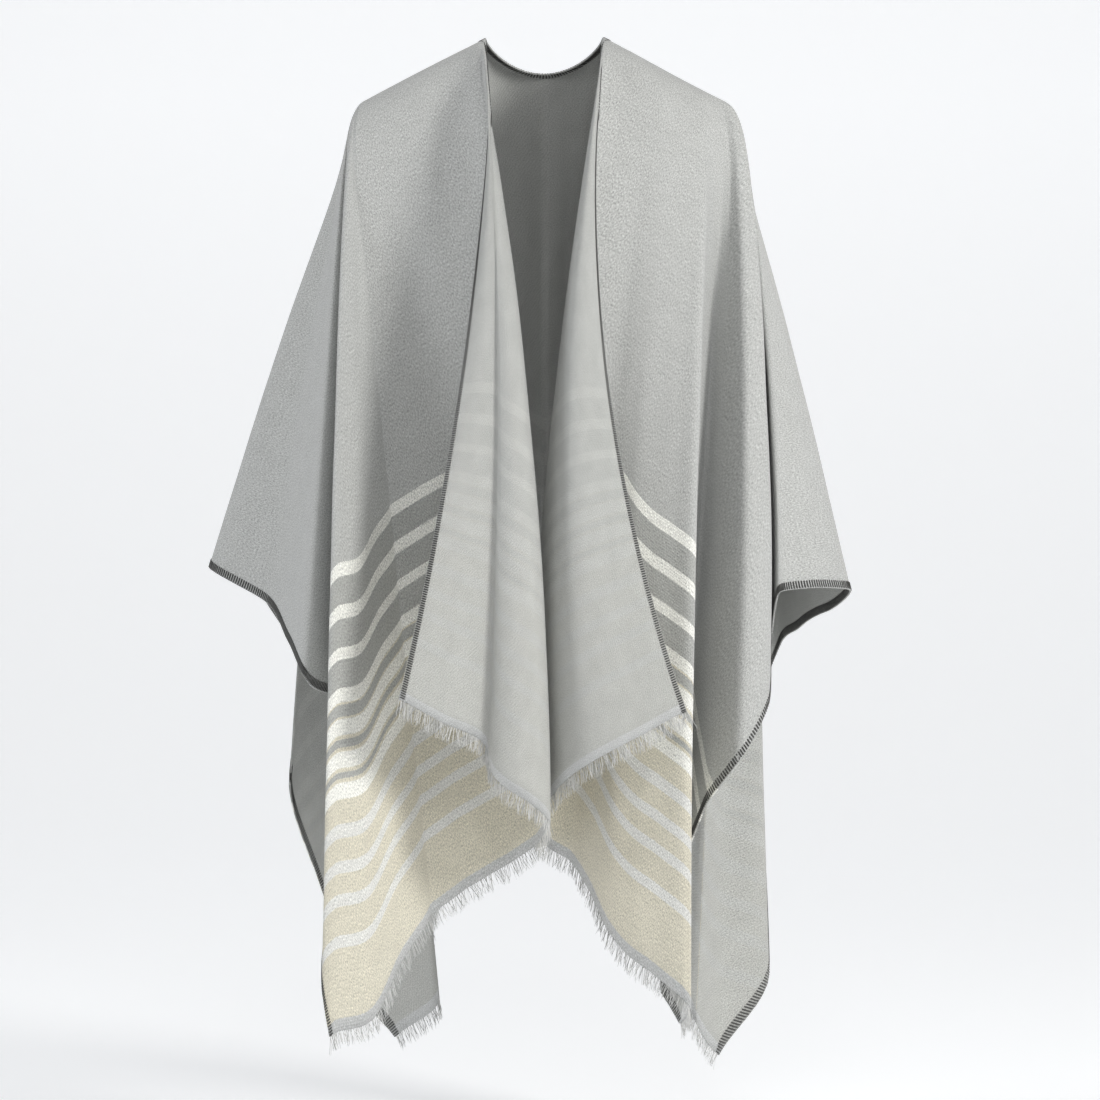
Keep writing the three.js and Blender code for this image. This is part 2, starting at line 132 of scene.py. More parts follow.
RIGHT = [
    ("lapel corner",         0,    -1,  127, -196, 569, -27, -16),
    ("lapel edge",          72,  -0.7,   85, -192, 592, -26, -26),
    ("lapel ridge",        131, -0.45,   50, -184, 611, -26, -36),
    ("lapel wave",         185, -0.25,   23, -160, 630, -25, -44),
    ("lapel",              230, -0.12,    7, -126, 650, -25, -49),
    ("lapel roll",         290,     0,   -7,  -86, 689, -24, -50),
    ("under the roll",     318,  0.12,    5,  -62, 702, -16, -46),
    ("front inner",        345,  0.25,   24,  -64, 713,  -8, -42),
    ("front dip",          390,   0.4,   42,  -92, 738,  -4, -36),
    ("front soft fold",    430,   0.5,   53, -112, 762,  -6, -32),
    ("front rise",         475,   0.6,   72, -134, 789,  -6, -26),
    ("front outer",        530,  0.68,  100, -158, 809,  -6, -20),
    ("front side ridge",   590,  0.75,  130, -182, 835,  -6, -14),
    ("front hem corner",   650,  0.78,  123, -138, 856,  -6,  -8),
    ("side edge",          704,   0.8,  107,  -98, 827,  -2,   0),
    ("side tuck",          850,  0.84,  123,    0, 748,   2,   8),
    ("side valley",        985,  0.88,  150,  -46, 664,   5,   6),
    ("pleat face",        1036,  0.94,  178, -112, 619,   8,  -2),
    ("pleat ridge",       1090,     1,  206,  -86, 568,  10,   0),
    ("pleat valley",      1195,     1,  213,   -6, 512,   9,   6),
    ("wing roll",         1305,     1,  219,  -46, 465,  10,   2),
    ("wing front",        1350,     1,  256,  -24, 461,   4,   2),
    ("wing tip",          1400,     1,  291,   34, 464,   0,   0),
    ("wing back",         1495,     1,  273,  110, 486,   0,   6),
    ("wing back turn",    1595,     1,  253,  180, 502,   0,  14),
    ("wing inside",       1690,     1,  236,  228, 521,   0,  22),
    ("back tuck",         1830,     1,  210,  246, 622,   0,  26),
    ("back side ridge",   1950,     1,  220,  226, 734,   0,  18),
    ("back side",         2070,     1,  222,  196, 847,   2,  18),
    ("back hem corner",   2150,     1,  172,  184, 926,   0,  20),
    ("back turn",         2212,     1,  147,  132, 885,   0,  18),
    ("pleat 1 in",        2300,  0.98,  128,  196, 813,   0,  26),
    ("pleat 1 out",       2380,   0.9,  112,  252, 757,   0,  34),
    ("pleat 2 out",       2445,  0.75,   76,  272, 717,   0,  36),
    ("pleat 2 side",      2520,   0.5,   66,  205, 710,   0,  30),
    ("pleat 2 in",        2590,   0.2,   54,  150, 689,   0,  24),
    ("pleat 3 out",       2660,  -0.2,   36,  206, 651,   0,  26),
    ("centre side",       2730,  -0.6,   19,  182, 646,   0,  22),
    ("centre",            2800,    -1,    0,  124, 668,   0,  14),
]
LEFT_SIDE = -1
RIGHT_SIDE = 1


def outline(edge):
    """The flat points (out, along) that lie `edge` millimetres along the outline of half the cut."""
    edge = np.asarray(edge, float)
    out = np.where(edge <= HALF_WIDTH, edge, np.where(edge <= BACK_CORNER, HALF_WIDTH, EDGE_END - edge))
    side = np.where(edge <= BACK_CORNER, edge - WING_TIP, HALF_LENGTH)
    return np.stack([out, np.where(edge <= HALF_WIDTH, -HALF_LENGTH, side)], -1)


def rest(start, front, side):
    """Where rays leave: their flat points and the places where the cloth rests there."""
    turn = np.clip(-start, 0, 1) * np.pi / 2
    on_neck = start < 0
    depth = NECK_DEPTH * np.sin(turn)
    flat_out = np.where(on_neck, NECK_HALF * np.cos(turn), NECK_HALF + SHOULDER_RUN * start)
    flat = np.stack([flat_out, np.where(front, -depth, depth)], -1)
    share = np.clip(start, 0, 1)[:, None]
    shoulder = REST_NECK + (REST_SHOULDER - REST_NECK) * share
    throat = REST_NECK + (REST_THROAT - REST_NECK) * np.clip(-start, 0, 1)[:, None]
    throat[:, 1] = REST_THROAT[1] * np.sin(turn)
    nape = np.stack([REST_NECK[0] * np.cos(turn), REST_NAPE[1] * np.sin(turn),
                     REST_NECK[2] + (REST_NAPE[2] - REST_NECK[2]) * np.sin(turn) ** NAPE_RISE], -1)
    curve = np.where(front[:, None], throat, nape)
    place = np.where(on_neck[:, None], curve, shoulder)
    place[:, 0] *= side
    return flat, place


def lay_on_shoulder(out, along, side):
    """Flat directions laid in the slope of the shoulder."""
    slope = (REST_SHOULDER - REST_NECK) / np.linalg.norm(REST_SHOULDER - REST_NECK)
    return np.stack([slope[0] * side * out, along, slope[2] * out], -1)


def kept(run, along, start):
    """How far rays keep to the shoulder before they hang."""
    bend = (ROUND_ARM + ROUND_BODY * along ** 2) * (1 - ROUND_NECK * np.clip(-start, 0, 1))
    return bend * (1 - np.exp(-run / bend))


class HalfCloth:
    """One side of the cloth: its folds, and the smooth curve through them."""

    def __init__(self, rows, side):
        self.side = side
        self.edges = np.array([row[1] for row in rows], float)
        self.starts = np.array([row[2] for row in rows], float)
        ends = np.array([(side * row[3], row[4], -row[5]) for row in rows], float)
        bows = np.array([(side * row[6], row[7]) for row in rows], float)
        front = self.edges < WING_TIP
        flat, place = rest(self.starts, front, side)
        step = outline(self.edges) - flat
        length = np.linalg.norm(step, axis=1)
        out, along = (step / length[:, None]).T
        bent = kept(length, along, self.starts)
        hang = ends - place - lay_on_shoulder(out, along, side) * bent[:, None]
        reach = np.linalg.norm(hang, axis=1)
        self.values = np.column_stack([hang / reach[:, None], reach / (length - bent), bows])
        gap = np.diff(self.edges)
        rise = np.diff(self.values, axis=0) / gap[:, None]
        before, after = gap[:-1, None], gap[1:, None]
        first, second = rise[:-1], rise[1:]
        inner = (first * after + second * before) / (before + after)
        most = np.where(first * second > 0, SLOPE_ONWARD, SLOPE_TURNING)
        most = most * np.minimum(np.abs(first), np.abs(second))
        inner = np.clip(inner, -most, most)
        self.slopes = np.vstack([rise[:1], inner, rise[-1:]])

    def curve(self, edge):
        """The blended fold values and the starts at edge positions."""
        i = np.clip(np.searchsorted(self.edges, edge, side="left") - 1, 0, len(self.edges) - 2)
        gap = self.edges[i + 1] - self.edges[i]
        t = (edge - self.edges[i]) / gap
        near = (2 * t ** 3 - 3 * t ** 2 + 1)[:, None]
        leave = ((t ** 3 - 2 * t ** 2 + t) * gap)[:, None]
        arrive = ((t ** 3 - t ** 2) * gap)[:, None]
        value = (near * self.values[i] + (1 - near) * self.values[i + 1]
                 + leave * self.slopes[i] + arrive * self.slopes[i + 1])
        return value, self.starts[i] + (self.starts[i + 1] - self.starts[i]) * t

    def soft_way(self, edge):
        """How the rays around each edge position hang on average."""
        step = np.minimum(SOFT_REACH, np.minimum(edge, EDGE_END - edge)) / SOFT_STEPS
        way = 0
        for k in range(-SOFT_STEPS, SOFT_STEPS + 1):
            way = way + (SOFT_STEPS + 1 - abs(k)) * self.curve(edge + k * step)[0][:, :3]
        return way / np.linalg.norm(way, axis=1)[:, None]

    def rays(self, edge):
        """The rays that end at the edge positions `edge`."""
        edge = np.asarray(edge, float)
        value, start = self.curve(edge)
        flat, place = rest(start, edge < WING_TIP, self.side)
        step = outline(edge) - flat
        length = np.linalg.norm(step, axis=1)
        return {"start": start, "value": value, "soft": self.soft_way(edge), "flat": flat,
                "top": place, "length": length, "goes": step / length[:, None]}

    def hung(self, rays, run):
        """Where the cloth hangs, `run` (a row for each ray) millimetres down the rays."""
        out, along = rays["goes"][:, :1], rays["goes"][:, 1:]
        bent = kept(run, along, rays["start"][:, None])
        value = rays["value"]
        hang = value[:, :3] / np.linalg.norm(value[:, :3], axis=1)[:, None]
        full = (1 - np.exp(-(run / SOFT_FADE) ** 2))[..., None]
        way = rays["soft"][:, None, :] * (1 - full) + hang[:, None, :] * full
        way = way / np.linalg.norm(way, axis=2)[..., None]
        share = run / rays["length"][:, None]
        bow = 4 * share * (1 - share)
        laid = lay_on_shoulder(out, along, self.side)
        place = rays["top"][:, None, :] + laid * bent[..., None]
        place = place + way * (value[:, 3:4] * (run - bent))[..., None]
        place[..., 0] += value[:, 4:5] * bow
        place[..., 1] += value[:, 5:6] * bow
        return place


HALVES = {LEFT_SIDE: HalfCloth(LEFT, LEFT_SIDE), RIGHT_SIDE: HalfCloth(RIGHT, RIGHT_SIDE)}

# ---------------------------------------------------------------- the fine cloth surface
COLUMN_STEP = 11.0      # widest step between two columns, along the edge
ROWS = 58               # rows of faces from the shoulder line or the neck curve to the edge
SHOULDER_CROWD = 1.3    # rows stand closer together over the shoulder
LEAST_START_STEP = 0.006    # columns that start closer together than this are one
START_DIGITS = 6        # starts that agree to so many decimals share their point

# Soft creases on the flat cut, in mm: from (u, v) to (u, v), half width and height. v is minus to the front.
CREASES = [
    # name,                      u,    v,    u,    v, width, height
    ("right shoulder crease",   72,  -18,  150,  -70,   13,   3.0),
    ("right shoulder trough",   66,  -46,  128, -120,   16,  -2.2),
    ("left neck crease",       -62,  -30, -118, -150,   15,   2.4),
    ("left neck trough",       -92,  -28, -160, -190,   20,  -2.6),
    ("left chest ridge",      -130,  -60, -214, -300,   24,   2.6),
    ("left chest trough",     -180, -120, -262, -420,   26,  -2.4),
    ("right chest ridge",      120, -130,  170, -380,   24,   2.2),
    ("nape crease",             12,   78,   16,  330,   11,  -3.0),
    ("nape ridge",             -22,   84,  -30,  300,   16,   2.2),
    ("left back trough",      -140,   60, -200,  420,   26,  -3.0),
    ("right back trough",      150,   50,  230,  380,   28,  -3.0),
    ("right back ridge",        96,   70,  120,  300,   20,   2.4),
    ("left wing ridge",       -330,  -40, -560,  -90,   30,   2.6),
    ("right wing ridge",       340,  -30,  560,  -60,   28,   2.2),
    ("left wing trough",      -300,   60, -540,  180,   34,  -3.0),
    ("right wing trough",      320,   70,  560,  200,   34,  -2.6),
]
CREASE_TAPER = 0.7      # how blunt a crease's ends are: 0 would be square, 1 a long taper
CREASE_REACH = 3.0      # half widths aside beyond which a crease no longer counts
UNDULATION = 1.1        # height of the slow unevenness of worn cloth
UNDULATION_SPAN = 95.0  # its size across
UNDULATION_STRETCH = 1.6    # how much longer it is down the cloth


def crease_height(u, v):
    """How far the cloth stands out at a flat point, from its creases and its slow unevenness."""
    height = 0.0
    for _, u0, v0, u1, v1, width, rise in CREASES:
        du, dv = u1 - u0, v1 - v0
        span = math.hypot(du, dv)
        along = ((u - u0) * du + (v - v0) * dv) / span ** 2
        if not 0 < along < 1:
            continue
        aside = abs((u - u0) * dv - (v - v0) * du) / span
        if aside > CREASE_REACH * width:
            continue
        fade = math.sin(math.pi * along) ** CREASE_TAPER
        height += rise * fade * math.exp(-(aside / width) ** 2)
    spot = Vector((u / UNDULATION_SPAN, v / UNDULATION_SPAN / UNDULATION_STRETCH, 0.0))
    return height + UNDULATION * noise.noise(spot)


def even(low, high, folds=()):
    """Edge positions from low to high, on each fold and no more than a step apart."""
    marks = sorted({low, high, *[fold for fold in folds if low < fold < high]})
    spans = [np.linspace(a, b, math.ceil((b - a) / COLUMN_STEP), endpoint=False)
             for a, b in zip(marks, marks[1:])]
    return np.concatenate([*spans, [high]])


def column_edges(half):
    """Edge positions of one side's columns. Front and back columns meet in pairs along the shoulder."""
    full = np.flatnonzero(half.starts == 1)
    front = (half.starts[:full[0] + 1], half.edges[:full[0] + 1])
    back = (half.starts[full[-1]:][::-1], half.edges[full[-1]:][::-1])
    neck_front, neck_back = np.interp(0, *front), np.interp(0, *back)
    met = np.concatenate([np.interp(even(neck_front, front[1][-1]), front[1], front[0]),
                          np.interp(even(back[1][-1], neck_back), back[1][::-1], back[0][::-1])])
    shared = [0.0]
    for start in sorted(met):
        if start - shared[-1] > LEAST_START_STEP and start < 1 - LEAST_START_STEP:
            shared.append(start)
    inner = np.array(shared[1:])
    return np.concatenate([
        even(0, neck_front, half.edges), np.interp(inner, *front),
        even(front[1][-1], back[1][-1], half.edges), np.interp(inner[::-1], *back),
        even(neck_back, EDGE_END, half.edges)])


class Surface:
    """The middle surface of the cloth: points, flat places, outward normals and faces."""

    def __init__(self):
        shares = (np.arange(ROWS + 1) / ROWS) ** SHOULDER_CROWD
        self.points, self.flat, self.faces = [], [], []
        self.grids = {}
        shared = {}
        for side, half in HALVES.items():
            edges = column_edges(half)
            rays = half.rays(edges)
            run = shares[None, :] * rays["length"][:, None]
            place = half.hung(rays, run)
            flat = rays["flat"][:, None, :] + rays["goes"][:, None, :] * run[..., None]
            flat[..., 0] *= side
            grid = np.zeros(run.shape, int)
            for c, r in np.ndindex(*run.shape):
                key = None
                if r == 0 and rays["start"][c] > -TINY:
                    key = (side, round(rays["start"][c], START_DIGITS))
                elif c == len(edges) - 1:
                    key = ("centre", r)
                if key in shared:
                    grid[c, r] = shared[key]
                    continue
                grid[c, r] = len(self.points)
                self.points.append(place[c, r])
                self.flat.append(flat[c, r])
                if key is not None:
                    shared[key] = grid[c, r]
            self.grids[side] = (edges, grid)
            self.add_faces(grid, side)
        self.points = np.array(self.points)
        self.flat = np.array(self.flat)
        self.normals = self.vertex_normals()
        height = np.array([crease_height(u, v) for u, v in self.flat])
        self.points += self.normals * height[:, None]
        self.normals = self.vertex_normals()

    def add_faces(self, grid, side):
        """Faces of one side, wound so that they look out of the cloth."""
        for c, r in np.ndindex(grid.shape[0] - 1, ROWS):
            face = [grid[c, r], grid[c + 1, r], grid[c + 1, r + 1], grid[c, r + 1]]
            if face[0] == face[1]:
                face = face[1:]
            self.faces.append(tuple(face if side == LEFT_SIDE else face[::-1]))

    def triangles(self):
        """The faces as triangles."""
        made = []
        for face in self.faces:
            made.append(face[:3])
            if len(face) == 4:
                made.append((face[0], face[2], face[3]))
        return np.array(made)

    def vertex_normals(self):
        """Outward normals of the points, from the faces round them."""
        tris = self.triangles()
        a, b, c = (self.points[tris[:, k]] for k in range(3))
        flat_normals = np.cross(b - a, c - a)
        total = np.zeros_like(self.points)
        for k in range(3):
            np.add.at(total, tris[:, k], flat_normals)
        return total / np.maximum(np.linalg.norm(total, axis=1), TINY)[:, None]


@functools.cache
def cloth_surface():
    """The cloth's middle surface, worked out once."""
    return Surface()


class FlatMap:
    """Finds the hung place of any flat point (u, v) of the cloth."""

    def __init__(self, surface):
        self.surface = surface
        self.tris = surface.triangles()
        self.corners = [Vector((u, v, 0.0)) for u, v in surface.flat]
        self.tree = BVHTree.FromPolygons(self.corners, self.tris.tolist())

    def at(self, u, v, lift=0.0):
        """The place of (u, v), `lift` millimetres out of the cloth's middle."""
        spot, _, index, _ = self.tree.find_nearest(Vector((u, v, 0.0)))
        tri = self.tris[index]
        a, b, c = (self.corners[k] for k in tri)
        share = self.shares(spot, a, b, c)
        point = share @ self.surface.points[tri]
        normal = share @ self.surface.normals[tri]
        return point + normal / np.linalg.norm(normal) * lift

    @staticmethod
    def shares(spot, a, b, c):
        """How much of each corner of a flat triangle a spot holds."""
        area = (b - a).cross(c - a).z
        share_a = (b - spot).cross(c - spot).z / area
        share_b = (c - spot).cross(a - spot).z / area
        return np.array([share_a, share_b, 1 - share_a - share_b])


@functools.cache
def flat_map():
    """The lookup from flat points to hung places, made once."""
    return FlatMap(cloth_surface())


# ---------------------------------------------------------------- Blender helpers
THREAD_SIDES = 3        # a thread is far too thin for more to show


def settings():
    """The add-on's settings in the current scene."""
    return bpy.context.scene.ruana


def millimetres(name):
    """One of the add-on's sizes, in millimetres."""
    return getattr(settings(), name) / MM


def linear(hex_colour):
    """A '#rrggbb' sRGB colour as linear RGBA."""
    channels = [int(hex_colour[i:i + 2], 16) / 255 for i in (1, 3, 5)]
    return [c / 12.92 if c <= 0.04045 else ((c + 0.055) / 1.055) ** 2.4 for c in channels] + [1.0]


def mesh_object(name, points, faces, slots, materials, flat=None):
    """A smooth mesh object from points in millimetres, at the origin, riding on the part."""
    mesh = bpy.data.meshes.new(name)
    mesh.from_pydata((np.asarray(points) * MM).tolist(), [], [tuple(int(i) for i in f) for f in faces])
    mesh.polygons.foreach_set("use_smooth", np.ones(len(mesh.polygons), bool))
    mesh.polygons.foreach_set("material_index", np.asarray(slots, np.int32))
    if flat is not None:
        layer = mesh.uv_layers.new(name="flat_cut")
        corner = np.zeros(len(mesh.loops), np.int32)
        mesh.loops.foreach_get("vertex_index", corner)
        layer.data.foreach_set("uv", (np.asarray(flat)[corner] * MM).astype(np.float32).ravel())
    for material in materials:
        mesh.materials.append(material)
    mesh.validate()
    mesh.update()
    obj = bpy.data.objects.new(name, mesh)
    bpy.context.scene.collection.objects.link(obj)
    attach(obj, "root")
    return obj


def tube(path, radius):
    """Points and faces of a thin closed thread along a path of places."""
    path = np.asarray(path, float)
    ahead = np.gradient(path, axis=0)
    ahead /= np.maximum(np.linalg.norm(ahead, axis=1), TINY)[:, None]
    spine = ahead.mean(axis=0)
    up = np.eye(3)[np.argmin(np.abs(spine))]
    right = np.cross(ahead, up)
    right /= np.maximum(np.linalg.norm(right, axis=1), TINY)[:, None]
    over = np.cross(right, ahead)
    angle = np.arange(THREAD_SIDES) * 2 * np.pi / THREAD_SIDES
    radius = np.broadcast_to(radius, len(path))[:, None, None]
    ring = np.cos(angle)[None, :, None] * right[:, None] + np.sin(angle)[None, :, None] * over[:, None]
    points = (path[:, None] + ring * radius).reshape(-1, 3)
    faces = []
    for i in range(len(path) - 1):
        for k in range(THREAD_SIDES):
            low, high = i * THREAD_SIDES + k, i * THREAD_SIDES + (k + 1) % THREAD_SIDES
            faces.append((low, low + THREAD_SIDES, high + THREAD_SIDES, high))
    faces.append(tuple(range(THREAD_SIDES)))
    faces.append(tuple(reversed(range(len(points) - THREAD_SIDES, len(points)))))
    return points, faces


class Threads:
    """Collects thin threads into one mesh."""

    def __init__(self):
        self.points, self.faces, self.slots, self.count = [], [], [], 0

    def add(self, path, radius, slot=0):
        """Adds one thread along a path, with the material of a slot."""
        points, faces = tube(path, radius)
        self.points.append(points)
        self.faces += [tuple(i + self.count for i in face) for face in faces]
        self.slots += [slot] * len(faces)
        self.count += len(points)

    def build(self, name, materials):
        """The threads as one mesh object."""
        return mesh_object(name, np.concatenate(self.points), self.faces, self.slots, materials)


# ---------------------------------------------------------------- materials
# Fibres scatter light many times over, so they have little gloss and a broad soft sheen.
FIBRE_SPECULAR = 0.25
FIBRE_SHEEN_ROUGHNESS = 0.6
CLOTH_ROUGHNESS = 0.92
CLOTH_BUMP = 0.8        # strength of the cloth's bump, of its full depth

# Noises over the flat cut. Scale is cells a millimetre, so 1.0 gives specks of about a millimetre.
OUTSIDE_NAP = {"Scale": 1.0, "Detail": 3.0, "Roughness": 0.7}
INSIDE_NAP = {"Scale": 0.95, "Detail": 3.0, "Roughness": 0.7}
OUTSIDE_PATCHES = {"Scale": 0.06, "Detail": 2.0, "Roughness": 0.5}      # 17 mm across
INSIDE_PATCHES = {"Scale": 0.05, "Detail": 2.0, "Roughness": 0.5}       # 20 mm across
STRIPE_FRAY = {"Scale": 0.8, "Detail": 2.0, "Roughness": 0.6}           # 1.25 mm along a stripe's edge
TWILL_WAVER = {"Scale": 0.25, "Detail": 2.0, "Roughness": 0.6}          # 4 mm along a twill line

NAP_TONE = 2.0          # the nap's noise lies about 0.5, so this keeps the cloth's own colour on average
BRUSHED_DOWN = 0.45     # nap cells are this much as many down the cloth as across, as brushing draws them out
FRAY_DEPTH = 2.4        # how unevenly a stripe's edge runs, mm
RIB_PITCH = 2.3         # from rib to rib of the border, mm
RIB_TONE = -0.07        # how much darker a rib is
RIB_HEIGHT = 0.35       # how much a rib rises against the nap
BORDER_MARGIN = 7.0     # how far the ribs go on above the highest stripe, mm
PATCH_TONE_OUTSIDE = 0.12   # how far apart in tone the broad uneven patches of the nap are
PATCH_TONE_INSIDE = 0.16
TWILL_PITCH = 3.4       # from twill line to twill line across the cloth, mm
TWILL_SLANT = 0.8       # how far a twill line goes across for each millimetre down
TWILL_STRAY = 2.2       # how unevenly a twill line runs, mm
TWILL_TONE = 0.1        # how much lighter a twill line is
TWILL_HEIGHT = 0.4      # how much a twill line rises against the nap
INSIDE_TONE = -0.02     # takes back part of what the twill lines lighten
OUTSIDE_DEPTH = 0.5     # bump of the outer face, mm
INSIDE_DEPTH = 0.45     # bump of the inner face, mm
OUTSIDE_SHEEN = 0.25
INSIDE_SHEEN = 0.2


def add(tree, kind, inputs=(), **properties):
    """Adds a node with its settings and links, and returns it.

    `inputs` holds the inputs in order, or maps their names or numbers. Each is a value, an output to link, or
    a node, whose first output is linked.
    """
    node = tree.nodes.new("ShaderNode" + kind)
    for name, value in properties.items():
        setattr(node, name, value)
    for key, value in inputs.items() if isinstance(inputs, dict) else enumerate(inputs):
        if isinstance(value, bpy.types.Node):
            value = value.outputs[0]
        if isinstance(value, bpy.types.NodeSocket):
            tree.links.new(value, node.inputs[key])
        else:
            node.inputs[key].default_value = value
    return node


def new_material(name):
    """An empty node material and its tree."""
    material = bpy.data.materials.new(name)
    material.use_nodes = True
    material.node_tree.nodes.clear()
    return material, material.node_tree


def flat_place(tree):
    """The place on the flat cut in millimetres: as a vector, and how far out (u) and along (v)."""
    metres = add(tree, "UVMap", uv_map="flat_cut")
    place = add(tree, "VectorMath", (metres, (1 / MM, 1 / MM, 0)), operation="MULTIPLY")
    split = add(tree, "SeparateXYZ", (place,))
    return place, split.outputs[0], split.outputs[1]


def hem_height(tree, v):
    """The height above the nearer hem, in millimetres."""
    from_shoulder = add(tree, "Math", (v,), operation="ABSOLUTE")
    return add(tree, "Math", (HALF_LENGTH, from_shoulder), operation="SUBTRACT")


def wave(tree, place, pitch):
    """0 to 1 and back, once in each `pitch` of a place in millimetres."""
    turn = add(tree, "Math", (place, 2 * math.pi / pitch), operation="MULTIPLY")
    swing = add(tree, "Math", (turn,), operation="SINE")
    return add(tree, "Math", (swing, 0.5, 0.5), operation="MULTIPLY_ADD")


def uneven(tree, place, noise_settings, amount, base):
    """`base` with up to half of `amount` more or less, by a noise over the flat cut."""
    noise_node = add(tree, "TexNoise", {"Vector": place, **noise_settings}, noise_dimensions="2D")
    swing = add(tree, "Math", (noise_node, 0.5), operation="SUBTRACT")
    return add(tree, "Math", (swing, amount, base), operation="MULTIPLY_ADD")


def toned(tree, colour, tone):
    """A colour made lighter or darker by a grey tone."""
    grey = add(tree, "CombineColor", (tone, tone, tone))
    return add(tree, "Mix", {0: 1.0, 6: colour, 7: grey}, data_type="RGBA", blend_type="MULTIPLY").outputs[2]


def finish_material(tree, colour, height, depth, strength, roughness, sheen):
    """Ends a material of fibres: its colour, its bump `depth` millimetres deep, roughness and sheen."""
    bump = add(tree, "Bump", {"Height": height, "Strength": strength, "Distance": depth * MM})
    surface = add(tree, "BsdfPrincipled", {
        "Base Color": colour, "Roughness": roughness, "Normal": bump, "Specular IOR Level": FIBRE_SPECULAR,
        "Sheen Weight": sheen, "Sheen Roughness": FIBRE_SHEEN_ROUGHNESS})
    add(tree, "OutputMaterial", {"Surface": surface})


HEM_BAND = 9.0          # plain woven band above the fringe, mm
# The stripes of the outer face, upwards from each hem, in mm. Between two stripes is a grey band of the width
# given, with beige on both sides of it where it is narrower than the space. A band of 99 fills the space.
STRIPES = [
    # centre, width, grey band above, colour
    (67, 9.5, 0, "pale_stripe"),
    (98, 9.5, 0, "pale_stripe"),
    (123, 9.5, 0, "pale_stripe"),
    (150, 9.5, 0, "pale_stripe"),
    (180, 13, 4, "white_stripe"),
    (204, 13, 7, "white_stripe"),
    (229, 12, 10, "white_stripe"),
    (253, 10, 99, "white_stripe"),
    (285, 10, 99, "white_stripe"),
    (317, 10, 99, "white_stripe"),
    (350, 10, 0, "white_stripe"),
]
STRIPES_SPAN = 400.0    # height above the hem that the stripes' colour ramp covers, mm
SHOW_THROUGH = 0.08     # how much of the stripes shows on the inner face


def stripe_stops():
    """The outer face's colours from the hem upwards, as (height, name of the colour)."""
    stops = [(0.0, "hem_grey"), (HEM_BAND, "beige")]
    for (centre, width, band, colour), above in zip(STRIPES, [*STRIPES[1:], None]):
        stops.append((centre - width / 2, colour))
        top = centre + width / 2
        if above is None:
            stops.append((top, "body_grey"))
            continue
        next_low = above[0] - above[1] / 2
        if band >= next_low - top:
            stops.append((top, "band_grey"))
            continue
        stops.append((top, "beige"))
        if band:
            middle = (top + next_low) / 2
            stops += [(middle - band / 2, "band_grey"), (middle + band / 2, "beige")]
    return stops


def striped(tree, height):
    """The outer face's colour at a height above the hem."""
    level = add(tree, "Math", (height, STRIPES_SPAN), operation="DIVIDE")
    node = add(tree, "ValToRGB", (level,))
    node.color_ramp.interpolation = "CONSTANT"
    elements = node.color_ramp.elements
    elements.remove(elements[1])
    for stop, colour in stripe_stops():
        element = elements.new(stop / STRIPES_SPAN) if stop else elements[0]
        element.color = getattr(settings(), colour)
    return node


def outer_cloth():
    """The outer face: brushed twill of acrylic and viscose, in a grey melange, striped near both hems.

    Brushing raises a short nap, which hides the twill, takes away the gloss and blurs the stripes' edges. The
    melange yarn mixes light and dark fibres, which show as soft specks. The specks are drawn a millimetre
    wide and the ribs of the border 2.3 mm apart, both coarser than in real cloth, so that they show.
    """
    material, tree = new_material("brushed_acrylic_twill_outside")
    place, _, v = flat_place(tree)
    height = hem_height(tree, v)
    colour = striped(tree, uneven(tree, place, STRIPE_FRAY, FRAY_DEPTH, height))
    brushed = add(tree, "VectorMath", (place, (1.0, BRUSHED_DOWN, 0)), operation="MULTIPLY")
    nap = add(tree, "TexNoise", {"Vector": brushed, **OUTSIDE_NAP}, noise_dimensions="2D")
    in_border = add(tree, "Math", (height, STRIPES[-1][0] + BORDER_MARGIN), operation="LESS_THAN")
    ribs = add(tree, "Math", (wave(tree, v, RIB_PITCH), in_border), operation="MULTIPLY")
    tone = add(tree, "Math", (nap, NAP_TONE), operation="MULTIPLY")
    tone = uneven(tree, place, OUTSIDE_PATCHES, PATCH_TONE_OUTSIDE, tone)
    tone = add(tree, "Math", (ribs, RIB_TONE, tone), operation="MULTIPLY_ADD")
    relief = add(tree, "Math", (ribs, RIB_HEIGHT, nap), operation="MULTIPLY_ADD")
    finish_material(tree, toned(tree, colour, tone), relief, OUTSIDE_DEPTH, CLOTH_BUMP, CLOTH_ROUGHNESS,
                    OUTSIDE_SHEEN)
    return material


